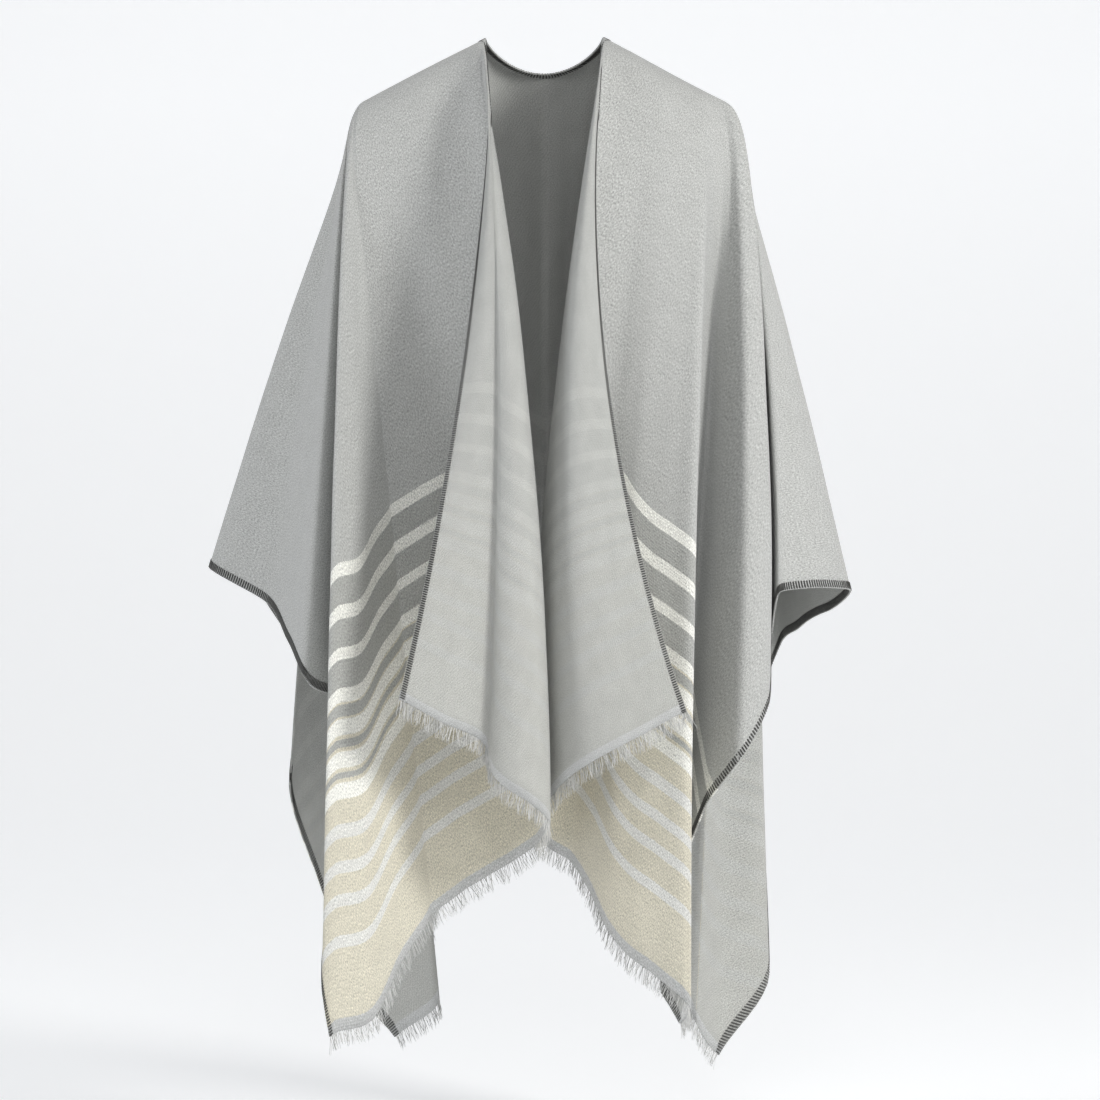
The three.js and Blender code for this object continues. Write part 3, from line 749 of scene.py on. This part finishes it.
def inner_cloth():
    """The inner face: the same twill, less brushed, in plain light grey with the stripes showing faintly.

    Its nap is low, so the slanting lines of the twill show through it, and the outer face's stripes show
    through the cloth. The twill lines of such cloth are closer than 2 mm. They are drawn wider apart, so that
    they show.
    """
    material, tree = new_material("woven_acrylic_twill_inside")
    place, u, v = flat_place(tree)
    height = hem_height(tree, v)
    slant = add(tree, "Math", (v, TWILL_SLANT, u), operation="MULTIPLY_ADD")
    stray = add(tree, "TexNoise", {"Vector": place, **TWILL_WAVER}, noise_dimensions="2D")
    twill = wave(tree, add(tree, "Math", (stray, TWILL_STRAY, slant), operation="MULTIPLY_ADD"), TWILL_PITCH)
    nap = add(tree, "TexNoise", {"Vector": place, **INSIDE_NAP}, noise_dimensions="2D")
    in_band = add(tree, "Math", (height, HEM_BAND), operation="LESS_THAN")
    chosen = settings()
    plain = add(tree, "Mix", {0: in_band, 6: chosen.inside_grey, 7: chosen.hem_grey}, data_type="RGBA")
    colour = add(tree, "Mix", {0: SHOW_THROUGH, 6: plain.outputs[2], 7: striped(tree, height)},
                 data_type="RGBA")
    tone = add(tree, "Math", (nap, NAP_TONE, INSIDE_TONE), operation="MULTIPLY_ADD")
    tone = add(tree, "Math", (twill, TWILL_TONE, tone), operation="MULTIPLY_ADD")
    tone = uneven(tree, place, INSIDE_PATCHES, PATCH_TONE_INSIDE, tone)
    relief = add(tree, "Math", (twill, TWILL_HEIGHT, nap), operation="MULTIPLY_ADD")
    finish_material(tree, toned(tree, colour.outputs[2], tone), relief, INSIDE_DEPTH, CLOTH_BUMP,
                    CLOTH_ROUGHNESS, INSIDE_SHEEN)
    return material


FIBRE_SCALE = 900.0     # cells a metre of the yarn's mottling, so 1.1 mm
PAINTED_HOLLOW_SHADE = 0.72      # painted shade: share of the light that the hollows between the fibres give back, painted into the yarn's colour
YARN_BUMP = 0.5         # strength of the yarn's bump, of its full depth
YARN_DEPTH = 0.1        # bump of the yarn, mm
YARN_SHEEN = 0.3
OVERLOCK_ROUGHNESS = 0.8
FRINGE_ROUGHNESS = 0.85


def spun_yarn(name, colour, roughness):
    """Spun acrylic yarn: matt, with a soft fuzz that catches the light and shade painted into its fibres'
    hollows.

    The fibres are far too fine to show, so the hollows are drawn about a millimetre long.
    """
    material, tree = new_material(name)
    spot = add(tree, "TexCoord").outputs["Object"]
    fibre = add(tree, "TexNoise", {"Vector": spot, "Scale": FIBRE_SCALE, "Detail": 2.0})
    # painted shade: the yarn's colour darkened where the noise is low, and the bump with it, in the hollows
    # between the fibres
    hollow_shade = [c * PAINTED_HOLLOW_SHADE for c in colour[:3]] + [1.0]
    mottled = add(tree, "Mix", {0: fibre, 6: hollow_shade, 7: colour}, data_type="RGBA")
    finish_material(tree, mottled.outputs[2], fibre, YARN_DEPTH, YARN_BUMP, roughness, YARN_SHEEN)
    return material


# ---------------------------------------------------------------- the cloth
def build_cloth():
    """The woven cloth: both faces of the surface, and its cut edge between them."""
    surface = cloth_surface()
    half = surface.normals * millimetres("thickness") / 2
    count = len(surface.points)
    outer = surface.faces
    inner = [tuple(i + count for i in reversed(face)) for face in outer]
    sides = {(face[k], face[(k + 1) % len(face)]) for face in outer for k in range(len(face))}
    rim = sorted((b, a, a + count, b + count) for a, b in sides if (b, a) not in sides)
    cloth = mesh_object("woven_cloth", np.concatenate([surface.points + half, surface.points - half]),
                        outer + inner + rim, [0] * len(outer) + [1] * len(inner) + [0] * len(rim),
                        [outer_cloth(), inner_cloth()], np.concatenate([surface.flat, surface.flat]))
    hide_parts("cloth_back", "cloth_front_left", "cloth_front_right")


# ---------------------------------------------------------------- the overlock
HEADING_SPAN = 1.0      # how far on each side of a place the way ahead is read, mm
SLIT_INSET = 0.1        # how near the slit's edge the outermost yarn is looked up, mm
YARN_STANDS = 0.6       # how many of its radii the yarn's middle stands above the cloth
# Points of one stitch: depth from the edge (of the stitch's width), place along it (of the pitch), and the
# face: 1 outer, 0 the edge itself, -1 inner.
STITCH = [
    (0.1, -0.14, 1), (0.95, -0.13, 1), (1.0, 0.0, 1), (0.95, 0.13, 1), (0.1, 0.14, 1),
    (0.02, 0.2, 0),
    (0.1, 0.26, -1), (0.95, 0.3, -1), (1.0, 0.43, -1), (0.95, 0.56, -1), (0.1, 0.55, -1),
]


def edge_paths(surface):
    """The sewn edges as (flat path, hand): both wing edges, then the slit with the neck.

    The hand is 1 where the cloth lies to the left of the way along the path, and -1 where to the right.
    """
    paths, slit = [], []
    for side in (LEFT_SIDE, RIGHT_SIDE):
        edges, grid = surface.grids[side]
        starts = HALVES[side].rays(edges)["start"]
        on_wing = (edges >= HALF_WIDTH) & (edges <= BACK_CORNER)
        on_front = (edges > 0) & (edges < WING_TIP) & (starts <= TINY)
        on_back = (edges > WING_TIP) & (starts < -TINY)
        part = [*grid[0, ::-1], *grid[on_front, 0], *grid[on_back, 0]]
        slit += part if side == LEFT_SIDE else part[::-1][1:]
        paths.append((surface.flat[grid[on_wing, -1]], side))
    paths.append((surface.flat[slit], 1))
    return paths


def even_steps(path, step):
    """Flat places one step apart along a flat path, and the direction ahead at each."""
    length = np.concatenate([[0], np.cumsum(np.linalg.norm(np.diff(path, axis=0), axis=1))])
    keep = np.concatenate([[True], np.diff(length) > TINY])
    path, length = path[keep], length[keep]
    runs = np.arange(step / 2, length[-1], step)
    near, place, far = (
        np.column_stack([np.interp(runs + shift, length, path[:, k]) for k in range(2)])
        for shift in (-HEADING_SPAN, 0, HEADING_SPAN))
    ahead = far - near
    return place, ahead / np.linalg.norm(ahead, axis=1)[:, None]


def overlock_stitch(places, at, ahead, hand, width, pitch, lift):
    """One stitch: in on the outer face, back to the edge, round it, and the same on the inner face."""
    inward = (-hand * ahead[1], hand * ahead[0])
    side = math.copysign(1.0, at[0] + inward[0] * width)
    path = []
    for share, along, face in STITCH:
        u = at[0] + inward[0] * share * width + ahead[0] * along * pitch
        v = at[1] + inward[1] * share * width + ahead[1] * along * pitch
        if v < 0:           # the slit parts the cloth here, so the stitch keeps to its own side of it
            u = side * max(side * u, SLIT_INSET)
        path.append(places.at(u, v, face * lift))
    return path


def build_overlock():
    """Charcoal overlock round the slit, the neck and both wing edges."""
    width, pitch, radius = (millimetres(name) for name in ("stitch_width", "stitch_pitch", "yarn_radius"))
    lift = millimetres("thickness") / 2 + radius * YARN_STANDS
    places = flat_map()
    threads = Threads()
    for path, hand in edge_paths(cloth_surface()):
        for at, ahead in zip(*even_steps(path, pitch)):
            threads.add(overlock_stitch(places, at, ahead, hand, width, pitch, lift), radius)
    yarn = spun_yarn("spun_acrylic_yarn_charcoal", settings().overlock_yarn, OVERLOCK_ROUGHNESS)
    overlock = threads.build("overlock", [yarn])


# ---------------------------------------------------------------- the fringe
HEM_SEEDS = {"fringe_back": 3, "fringe_front_left": 5, "fringe_front_right": 8}
ROOT_INSET = 1.5        # how far above the hem a warp end leaves the cloth, mm
HANG_SPAN = 9.0         # how far above the hem the way the cloth hangs is read, mm
ASIDE_SPAN = 3.0        # how far along the hem its direction is read, mm
FIRST_END = 1.0         # the first warp end from the middle of the cloth, mm
LAST_END = 0.5          # and the last, at least so far from the corner
CORNER_GAP = 0.3        # no warp end strays closer to the middle or a corner, mm
STRAY = 0.25            # spread of the ends along the hem, mm
LENGTHS = (0.75, 1.12)  # shortest and longest, of the fringe's length
LEAN = 0.2              # spread of the lean along the hem, for each millimetre down
CURL = 0.12             # spread of the curl along the hem
TILT = 0.1              # spread of the curl out of the cloth
LIFT = 0.5              # how far the roots stand out of the cloth's middle, mm
SAG = np.array([0, 0, -0.12])   # how weight draws the tips down
GREY_SHARE = 0.35       # share of the ends that are grey
# Points of a warp end: share of its length from the root, and its radius there, of the yarn's.
WARP_END = ((0, 1.15), (0.3, 1.0), (0.6, 0.95), (0.85, 0.85), (1.0, 0.5))


def build_fringe(name, node, sides, end, materials):
    """Loose warp ends along one hem, at one end of the cloth: 1 is the back and -1 the front."""
    places = flat_map()
    threads = Threads()
    hem = end * HALF_LENGTH
    random = np.random.default_rng(HEM_SEEDS[node])
    radius = millimetres("fringe_radius") * np.array([share for _, share in WARP_END])
    outs = np.arange(FIRST_END, HALF_WIDTH - LAST_END, millimetres("fringe_spacing"))
    for u in [side * out for side in sides for out in outs]:
        u += random.normal(0, STRAY)
        u = math.copysign(min(max(abs(u), CORNER_GAP), HALF_WIDTH - CORNER_GAP), u)
        root = places.at(u, hem - end * ROOT_INSET)
        down = root - places.at(u, hem - end * HANG_SPAN)
        down /= np.linalg.norm(down)
        along = places.at(u - math.copysign(ASIDE_SPAN, u), hem - end * ROOT_INSET) - root
        along /= np.linalg.norm(along)
        out = np.cross(down, along)
        reach = millimetres("fringe_length") * random.uniform(*LENGTHS) + ROOT_INSET
        lean = random.normal(0, LEAN)
        curl = random.normal(0, CURL)
        tilt = random.normal(0, TILT)
        lift = random.uniform(-LIFT, LIFT)
        path = []
        for share, _ in WARP_END:
            step = down * share + along * (lean * share + curl * share ** 2) + out * tilt * share ** 2
            path.append(root + out * lift + (step + SAG * share ** 2) * reach)
        threads.add(path, radius, int(random.random() < GREY_SHARE))
    fringe = threads.build(name, materials)
    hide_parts(node)


def build_fringes():
    """The fringes of the back hem and of both front hems, in the same two yarns."""
    chosen = settings()
    yarns = [spun_yarn("spun_acrylic_yarn_pale", chosen.pale_yarn, FRINGE_ROUGHNESS),
             spun_yarn("spun_acrylic_yarn_grey", chosen.grey_yarn, FRINGE_ROUGHNESS)]
    build_fringe("fringe_of_back", "fringe_back", (LEFT_SIDE, RIGHT_SIDE), 1, yarns)
    build_fringe("fringe_of_left_front", "fringe_front_left", (LEFT_SIDE,), -1, yarns)
    build_fringe("fringe_of_right_front", "fringe_front_right", (RIGHT_SIDE,), -1, yarns)


# ---------------------------------------------------------------- the studio, in metres
# The camera stands straight in front of the cloth, about level with its middle.
CAMERA_PLACE = (0.0053, -3.6, -0.4258)
CAMERA_WIDTH = 1.0362   # what the camera sees from side to side at the shoulders
SENSOR = 36.0           # mm
FLOOR = -1.02
SWEEP_WIDTH = 14.0
SWEEP_FRONT = -7.0
SWEEP_BACK = 5.0
SWEEP_HEIGHT = 5.0
SWEEP_BEND = 1.6        # radius of the bend between floor and wall
SWEEP_SEGMENTS = 12
PAPER = "#eff0f1"
PAPER_ROUGHNESS = 0.95
PAPER_GLOW = 0.36       # keeps the backdrop pale where little light falls
AIR = "#f5f6f8"
AIR_LIGHT = 0.22
LIGHTS = [
    # name, place, aimed at, size, size_y, watts, colour
    ("key", (2.1, -2.0, 1.0), (0.0, 0.0, -0.42), 0.7, 0.9, 62.0, "#fffefb"),
    ("left_softbox", (-2.6, -0.7, 0.7), (0.0, 0.0, -0.42), 0.8, 1.0, 24.0, "#fbfdff"),
    ("high_front", (0.2, -2.9, 1.5), (0.0, 0.0, -0.3), 0.8, 0.8, 20.0, "#ffffff"),
    ("wall", (0.0, 1.2, 2.6), (0.0, 4.4, 0.2), 5.0, 1.5, 30.0, "#ffffff"),
]


def pale_paper():
    """Matt studio paper: even and pale, with no gloss and no pattern."""
    material, tree = new_material("matt_pale_paper")
    surface = add(tree, "BsdfPrincipled", {
        "Base Color": linear(PAPER), "Roughness": PAPER_ROUGHNESS,
        "Emission Color": linear(AIR), "Emission Strength": PAPER_GLOW})
    add(tree, "OutputMaterial", {"Surface": surface})
    return material


def select_edges(obj, wanted):
    """Selects only the edges, of an object in edit mode, whose two ends are both `wanted`."""
    bpy.ops.mesh.select_all(action="DESELECT")
    shape = bmesh.from_edit_mesh(obj.data)
    for edge in shape.edges:
        edge.select_set(all(wanted(vertex.co) for vertex in edge.verts))
    shape.select_flush_mode()
    bmesh.update_edit_mesh(obj.data)


def build_sweep():
    """The paper sweep: a plane whose back edge is drawn up into a wall, with a round bend between them."""
    bpy.ops.mesh.primitive_plane_add(size=1.0, location=(0, 0, 0))
    sweep = bpy.context.object
    sweep.name = sweep.data.name = "studio_sweep"
    bpy.ops.object.mode_set(mode="EDIT")
    bpy.ops.mesh.select_mode(type="EDGE")
    bpy.ops.transform.resize(value=(SWEEP_WIDTH, SWEEP_BACK - SWEEP_FRONT, 1.0))
    bpy.ops.transform.translate(value=(0, (SWEEP_FRONT + SWEEP_BACK) / 2, FLOOR))
    select_edges(sweep, lambda spot: spot.y > SWEEP_BACK - SWEEP_BEND)
    bpy.ops.mesh.extrude_region_move(TRANSFORM_OT_translate={"value": (0, 0, SWEEP_HEIGHT)})
    select_edges(sweep, lambda spot: spot.y > SWEEP_BACK - SWEEP_BEND and spot.z < FLOOR + SWEEP_BEND)
    bpy.ops.mesh.bevel(offset=SWEEP_BEND, segments=SWEEP_SEGMENTS, profile=0.5, affect="EDGES")
    bpy.ops.object.mode_set(mode="OBJECT")
    bpy.ops.object.shade_smooth()
    sweep.data.materials.append(pale_paper())


def build_stage():
    """The sweep, the lights, the air and the camera."""
    build_sweep()
    for name, place, target, size, size_y, watts, colour in LIGHTS:
        facing = (Vector(target) - Vector(place)).to_track_quat("-Z", "Y").to_euler()
        bpy.ops.object.light_add(type="AREA", location=place, rotation=facing)
        bpy.context.object.name = name
        lamp = bpy.context.object.data
        lamp.shape = "RECTANGLE"
        lamp.size = size
        lamp.size_y = size_y
        lamp.energy = watts
        lamp.color = linear(colour)[:3]
    world = bpy.data.worlds.new("studio_air")
    world.use_nodes = True
    background = world.node_tree.nodes["Background"]
    background.inputs["Color"].default_value = linear(AIR)
    background.inputs["Strength"].default_value = AIR_LIGHT
    bpy.context.scene.world = world
    bpy.context.scene.view_settings.view_transform = "Standard"
    bpy.ops.object.camera_add(location=CAMERA_PLACE, rotation=(math.pi / 2, 0, 0))
    camera = bpy.context.object
    camera.name = "camera"
    camera.data.sensor_width = SENSOR
    camera.data.lens = SENSOR * -CAMERA_PLACE[1] / CAMERA_WIDTH
    bpy.context.scene.camera = camera


# ---------------------------------------------------------------- the add-on
def size_setting(name, description, millimetres_long):
    """A length that a user may change."""
    return bpy.props.FloatProperty(
        name=name, description=description, default=millimetres_long * MM, min=0, unit="LENGTH")


def colour_setting(name, description, hex_colour):
    """A colour that a user may change."""
    return bpy.props.FloatVectorProperty(
        name=name, description=description, default=linear(hex_colour), size=4, min=0, max=1, subtype="COLOR")


class RuanaSettings(bpy.types.PropertyGroup):
    """Sizes and colours of the dressed ruana that a user may change."""

    thickness: size_setting("Cloth thickness", "From one face of the cloth to the other", WALL)
    stitch_pitch: size_setting("Stitch pitch", "From one overlock stitch to the next", 2.6)
    stitch_width: size_setting("Stitch width", "How far the overlock reaches in from the edge", 7.5)
    yarn_radius: size_setting("Yarn radius", "Radius of the overlock yarn", 0.45)
    fringe_spacing: size_setting("Fringe spacing", "From one loose warp end to the next", 1.05)
    fringe_length: size_setting("Fringe length", "Usual length of a loose warp end", 13.0)
    fringe_radius: size_setting("Fringe radius", "Radius of a warp end", 0.28)
    body_grey: colour_setting("Body grey", "Outer face above the stripes", "#b6b7b5")
    band_grey: colour_setting("Band grey", "Outer face between the white stripes", "#aeafac")
    white_stripe: colour_setting("White stripe", "The seven stripes further from the hem", "#f0f0ea")
    pale_stripe: colour_setting("Pale stripe", "The four stripes nearest the hem", "#dfdfdb")
    beige: colour_setting("Beige", "Ground of the border", "#d6d1c0")
    hem_grey: colour_setting("Hem grey", "Plain band above the fringe", "#c2c3c2")
    inside_grey: colour_setting("Inside grey", "Inner face", "#b3b4b1")
    overlock_yarn: colour_setting("Overlock yarn", "Charcoal yarn round the edges", "#40403d")
    pale_yarn: colour_setting("Pale fringe yarn", "Most of the loose warp ends", "#ececea")
    grey_yarn: colour_setting("Grey fringe yarn", "The other loose warp ends", "#c2c3c1")


class RUANA_OT_stage(bpy.types.Operator):
    """Set up the pale studio, its lights and the camera"""
    bl_idname = "ruana.stage"
    bl_label = "Studio"

    def execute(self, context):
        build_stage()
        return {"FINISHED"}


class RUANA_OT_cloth(bpy.types.Operator):
    """Build the woven cloth, both its faces and its cut edge"""
    bl_idname = "ruana.cloth"
    bl_label = "Woven cloth"

    def execute(self, context):
        build_cloth()
        return {"FINISHED"}


class RUANA_OT_overlock(bpy.types.Operator):
    """Stitch the overlock round the slit, the neck and the wing edges"""
    bl_idname = "ruana.overlock"
    bl_label = "Overlock"

    def execute(self, context):
        build_overlock()
        return {"FINISHED"}


class RUANA_OT_fringe(bpy.types.Operator):
    """Build the three lengths of eyelash fringe"""
    bl_idname = "ruana.fringe"
    bl_label = "Eyelash fringe"

    def execute(self, context):
        build_fringes()
        return {"FINISHED"}


STEPS = (RUANA_OT_stage, RUANA_OT_cloth, RUANA_OT_overlock, RUANA_OT_fringe)


class RUANA_PT_panel(bpy.types.Panel):
    """Sidebar panel with the settings and the build steps"""
    bl_idname = "RUANA_PT_panel"
    bl_label = "Ruana"
    bl_space_type = "VIEW_3D"
    bl_region_type = "UI"
    bl_category = "Ruana"

    def draw(self, context):
        column = self.layout.column()
        for name in RuanaSettings.__annotations__:
            column.prop(context.scene.ruana, name)
        for step in STEPS:
            column.operator(step.bl_idname)


CLASSES = (RuanaSettings, *STEPS, RUANA_PT_panel)


def register():
    """Adds the settings, the operators and the panel."""
    for item in CLASSES:
        bpy.utils.register_class(item)
    bpy.types.Scene.ruana = bpy.props.PointerProperty(type=RuanaSettings)


def unregister():
    """Takes them away again."""
    del bpy.types.Scene.ruana
    for item in reversed(CLASSES):
        bpy.utils.unregister_class(item)


def main():
    """Builds everything."""
    register()
    bpy.ops.object.select_all(action="DESELECT")
    bpy.ops.ruana.stage()
    bpy.ops.ruana.cloth()
    bpy.ops.ruana.overlock()
    bpy.ops.ruana.fringe()


if __name__ == "__main__":
    main()
